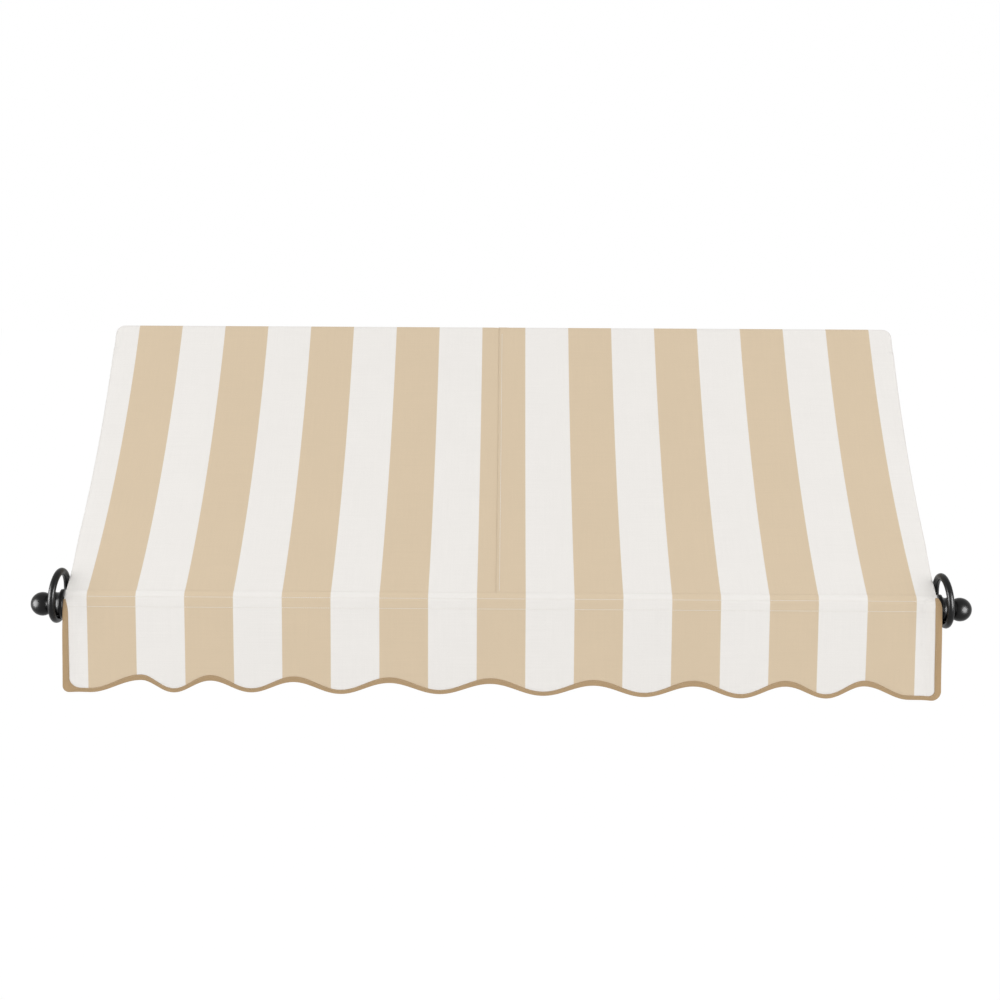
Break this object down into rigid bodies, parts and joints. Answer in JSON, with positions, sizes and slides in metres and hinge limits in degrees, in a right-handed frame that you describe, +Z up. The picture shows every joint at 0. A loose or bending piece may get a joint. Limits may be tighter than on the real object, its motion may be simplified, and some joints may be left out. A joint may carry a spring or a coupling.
{
  "type": "fabric awning",
  "caption": "Fixed open-sided fabric awning: a striped sloping cover with a wavy bound valance, on a head bar, a front bar with ball finials, ring supports and wall arms.",
  "frame": {"origin": "on the wall plane, at the back of the centre head hook, midway between its two screw holes", "axes": "+X along the wall to the right as seen from in front, +Y into the wall, +Z up; the front looks along -Y"},
  "size_m": [1.633, 0.6416, 0.6031],
  "materials": {
    "striped_cloth": "woven, beige and off-white stripes",
    "binding_tape": "woven tape, tan",
    "black_metal": "black satin coat",
    "zinc_steel": "zinc plated",
    "black_plastic": "moulded"
  },
  "bodies": {
    "root": {"head_bar": "black_metal", "head_hook_left": "black_metal", "head_hook_centre": "black_metal", "head_hook_right": "black_metal", "front_bar": "black_metal", "head_set_screw_left": "zinc_steel", "head_set_screw_centre": "zinc_steel", "head_set_screw_right": "zinc_steel", "front_pocket": "striped_cloth", "valance": "striped_cloth", "valance_binding": "binding_tape", "cover_panel_left": "striped_cloth", "head_bar_plug_left": "black_plastic", "front_bar_insert_left": "zinc_steel", "finial_stud_left": "zinc_steel", "ring_pin_left": "zinc_steel", "socket_bolt_left": "zinc_steel", "socket_nut_left": "zinc_steel", "front_hub_left": "black_metal", "ball_finial_left": "black_metal", "support_ring_left": "black_metal", "arm_rod_left": "black_metal", "wall_socket_left": "black_metal", "cover_panel_right": "striped_cloth", "head_bar_plug_right": "black_plastic", "front_bar_insert_right": "zinc_steel", "finial_stud_right": "zinc_steel", "ring_pin_right": "zinc_steel", "socket_bolt_right": "zinc_steel", "socket_nut_right": "zinc_steel", "front_hub_right": "black_metal", "ball_finial_right": "black_metal", "support_ring_right": "black_metal", "arm_rod_right": "black_metal", "wall_socket_right": "black_metal"}
  },
  "joints": []
}
